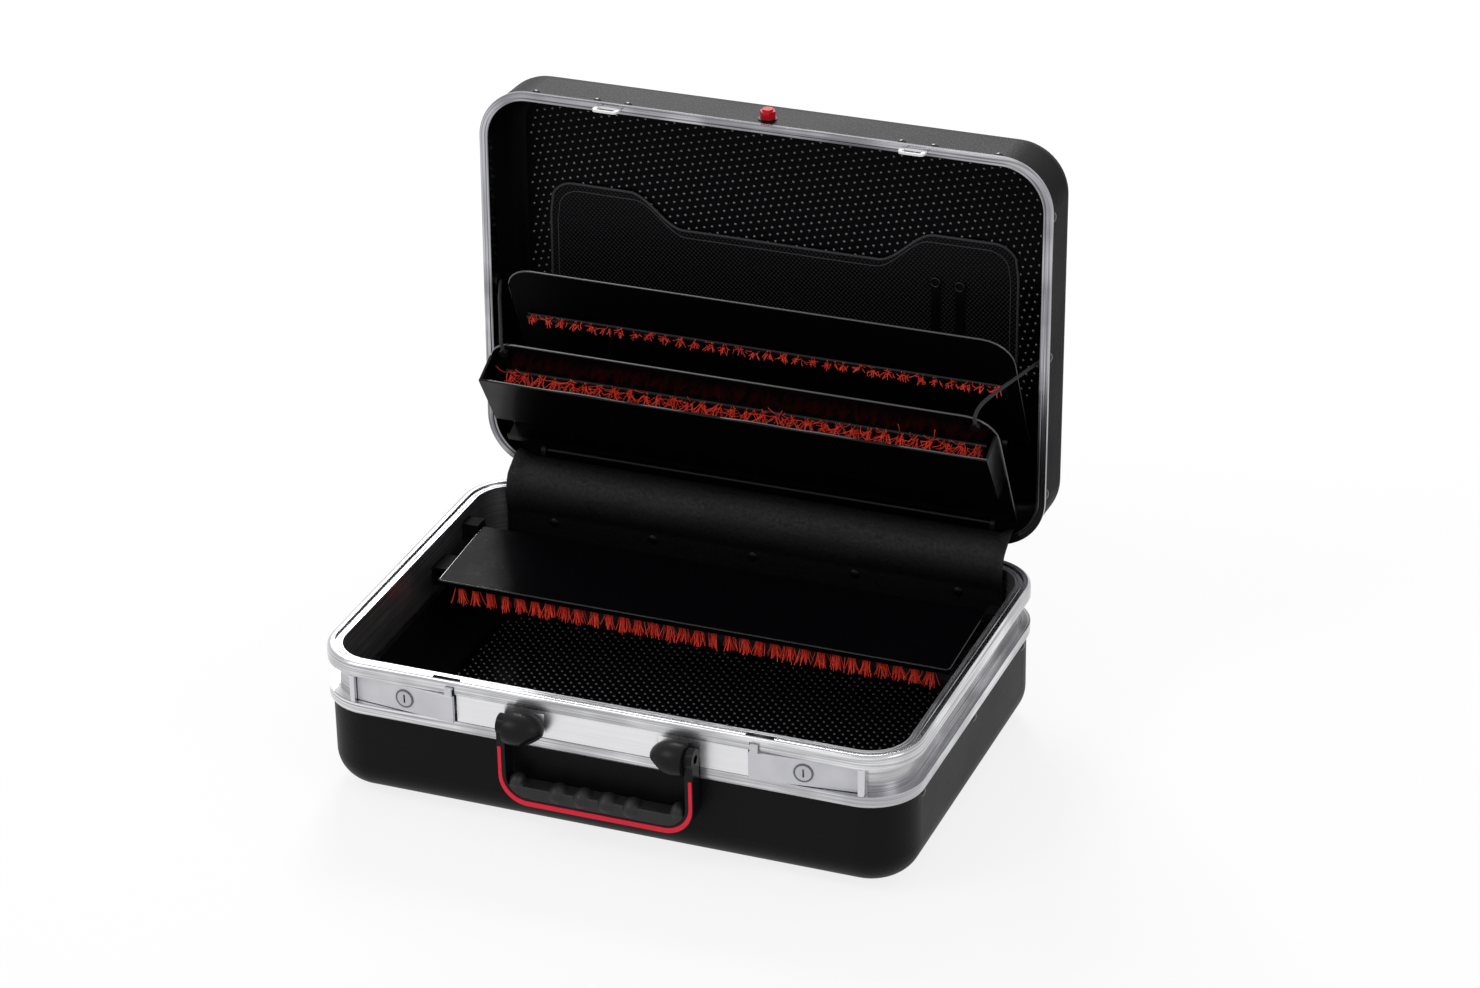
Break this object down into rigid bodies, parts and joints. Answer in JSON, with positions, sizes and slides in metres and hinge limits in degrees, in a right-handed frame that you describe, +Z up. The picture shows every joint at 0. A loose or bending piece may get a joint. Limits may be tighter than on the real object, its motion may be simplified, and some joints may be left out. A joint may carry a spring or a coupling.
{
  "type": "hard tool case with tilting tool boards",
  "caption": "Hard-shell tool case with a bright metal rim, rocker latches, bail handle, hinged lid, tilting tool boards, a mesh pocket and bristle tool holders.",
  "frame": {"origin": "middle of the underside, on the plane the case stands on", "axes": "X runs along the width, Y from the front to the hinge, Z up; the lid stands open"},
  "size_m": [0.48, 0.4221, 0.4589],
  "materials": {
    "black_shell": "moulded grain, satin",
    "bright_aluminium": "bright satin anodised",
    "pimpled_lining": "raised pimples, matt",
    "black_rivet": "gloss black",
    "satin_strip": "brushed satin",
    "satin_latch": "satin grey lacquer",
    "chrome_fittings": "polished",
    "steel_fittings": "plain zinc",
    "black_plastic": "plain",
    "board_sheet": "smooth satin sheet",
    "red_bristle": "fine filaments",
    "felt": "needled felt",
    "handle_plastic": "smooth satin",
    "grip_rubber": "fine grain",
    "red_inlay": "smooth satin",
    "red_button": "smooth gloss",
    "white_striker": "bright lacquer",
    "mesh_fabric": "woven mesh",
    "piping": "woven edge tape",
    "tag_plastic": "plain",
    "cord_braid": "round braid"
  },
  "bodies": {
    "base": {"apron": "felt", "apron_rivets": "steel_fittings", "base_board_brackets": "black_plastic", "base_board_ledges": "black_plastic", "base_floor_lining": "pimpled_lining", "base_frame": "bright_aluminium", "base_shell": "black_shell", "base_shell_rivets": "black_rivet", "front_strip": "satin_strip", "handle_boss_left": "handle_plastic", "handle_boss_right": "handle_plastic", "handle_pins": "steel_fittings", "hinge_leaf_base": "steel_fittings", "hinge_leaf_base_rivets": "steel_fittings", "hinge_pin": "steel_fittings", "latch_end_blocks": "chrome_fittings", "latch_lugs": "steel_fittings", "latch_pivot_pins": "steel_fittings", "lid_stops": "steel_fittings"},
    "lid": {"lid_shell": "black_shell", "lid_frame": "bright_aluminium", "lid_lining": "pimpled_lining", "lid_side_rivets": "black_rivet", "striker_rivets": "black_rivet", "striker_right": "white_striker", "striker_left": "white_striker", "lid_button": "red_button", "lid_button_collar": "black_plastic", "hinge_leaf_lid": "steel_fittings", "hinge_leaf_lid_rivets": "steel_fittings", "document_pocket": "mesh_fabric", "pocket_piping": "piping", "key_tags": "tag_plastic", "key_rings": "chrome_fittings", "front_board_brackets": "black_plastic", "back_board_brackets": "black_plastic", "cord_anchors": "black_plastic", "board_cord_right": "cord_braid", "board_cord_left": "cord_braid"},
    "front_board": {"front_board": "board_sheet", "board_trough": "board_sheet", "board_tip_rail": "board_sheet", "trough_bristles": "red_bristle", "cord_grommets": "black_plastic"},
    "back_board": {"back_board": "board_sheet", "back_board_bristles": "red_bristle"},
    "base_board": {"base_board": "board_sheet", "base_board_bristles": "red_bristle"},
    "handle": {"handle_bail": "handle_plastic", "handle_inlay": "red_inlay", "handle_grip": "grip_rubber"},
    "latch_right": {"latch_plate_right": "satin_latch", "lock_ring_right": "chrome_fittings"},
    "latch_left": {"latch_plate_left": "satin_latch", "lock_ring_left": "chrome_fittings"},
    "lock_right": {"lock_cylinder_right": "chrome_fittings"},
    "lock_left": {"lock_cylinder_left": "chrome_fittings"}
  },
  "joints": [
    {"name": "lid_hinge", "type": "hinge", "parent": "base", "child": "lid", "pos_m": [0, 0.1682, 0.1224], "axis": [-1, 0, 0], "range_deg": [-92, 0], "deforming": ["apron"]},
    {"name": "front_board_tilt", "type": "hinge", "parent": "lid", "child": "front_board", "pos_m": [0, 0.17944, 0.14052], "axis": [1, 0, 0], "range_deg": [-34.96, 0], "deforming": ["board_cord_right", "board_cord_left"]},
    {"name": "back_board_tilt", "type": "hinge", "parent": "lid", "child": "back_board", "pos_m": [0, 0.20839, 0.19604], "axis": [1, 0, 0], "range_deg": [-25.76, 0]},
    {"name": "base_board_lift", "type": "hinge", "parent": "base", "child": "base_board", "pos_m": [0, 0.0975, 0.1026], "axis": [-1, 0, 0], "range_deg": [0, 55]},
    {"name": "handle_swing", "type": "hinge", "parent": "base", "child": "handle", "pos_m": [0, -0.17, 0.097], "axis": [-1, 0, 0], "range_deg": [0, 110]},
    {"name": "latch_rock_right", "type": "hinge", "parent": "base", "child": "latch_right", "pos_m": [0.16, -0.1558, 0.0975], "axis": [0, 0, 1], "range_deg": [-6, 0]},
    {"name": "lock_turn_right", "type": "hinge", "parent": "latch_right", "child": "lock_right", "pos_m": [0.1606, -0.16147, 0.0975], "axis": [0.1045, -0.9945, 0], "range_deg": [0, 90]},
    {"name": "latch_rock_left", "type": "hinge", "parent": "base", "child": "latch_left", "pos_m": [-0.16, -0.1558, 0.0975], "axis": [0, 0, -1], "range_deg": [-6, 0]},
    {"name": "lock_turn_left", "type": "hinge", "parent": "latch_left", "child": "lock_left", "pos_m": [-0.1606, -0.16147, 0.0975], "axis": [-0.1045, -0.9945, 0], "range_deg": [0, 90]}
  ],
  "couplings": [
    {"joint": "front_board_tilt", "follows": "lid_hinge", "ratio": 0.38},
    {"joint": "back_board_tilt", "follows": "lid_hinge", "ratio": 0.28}
  ]
}
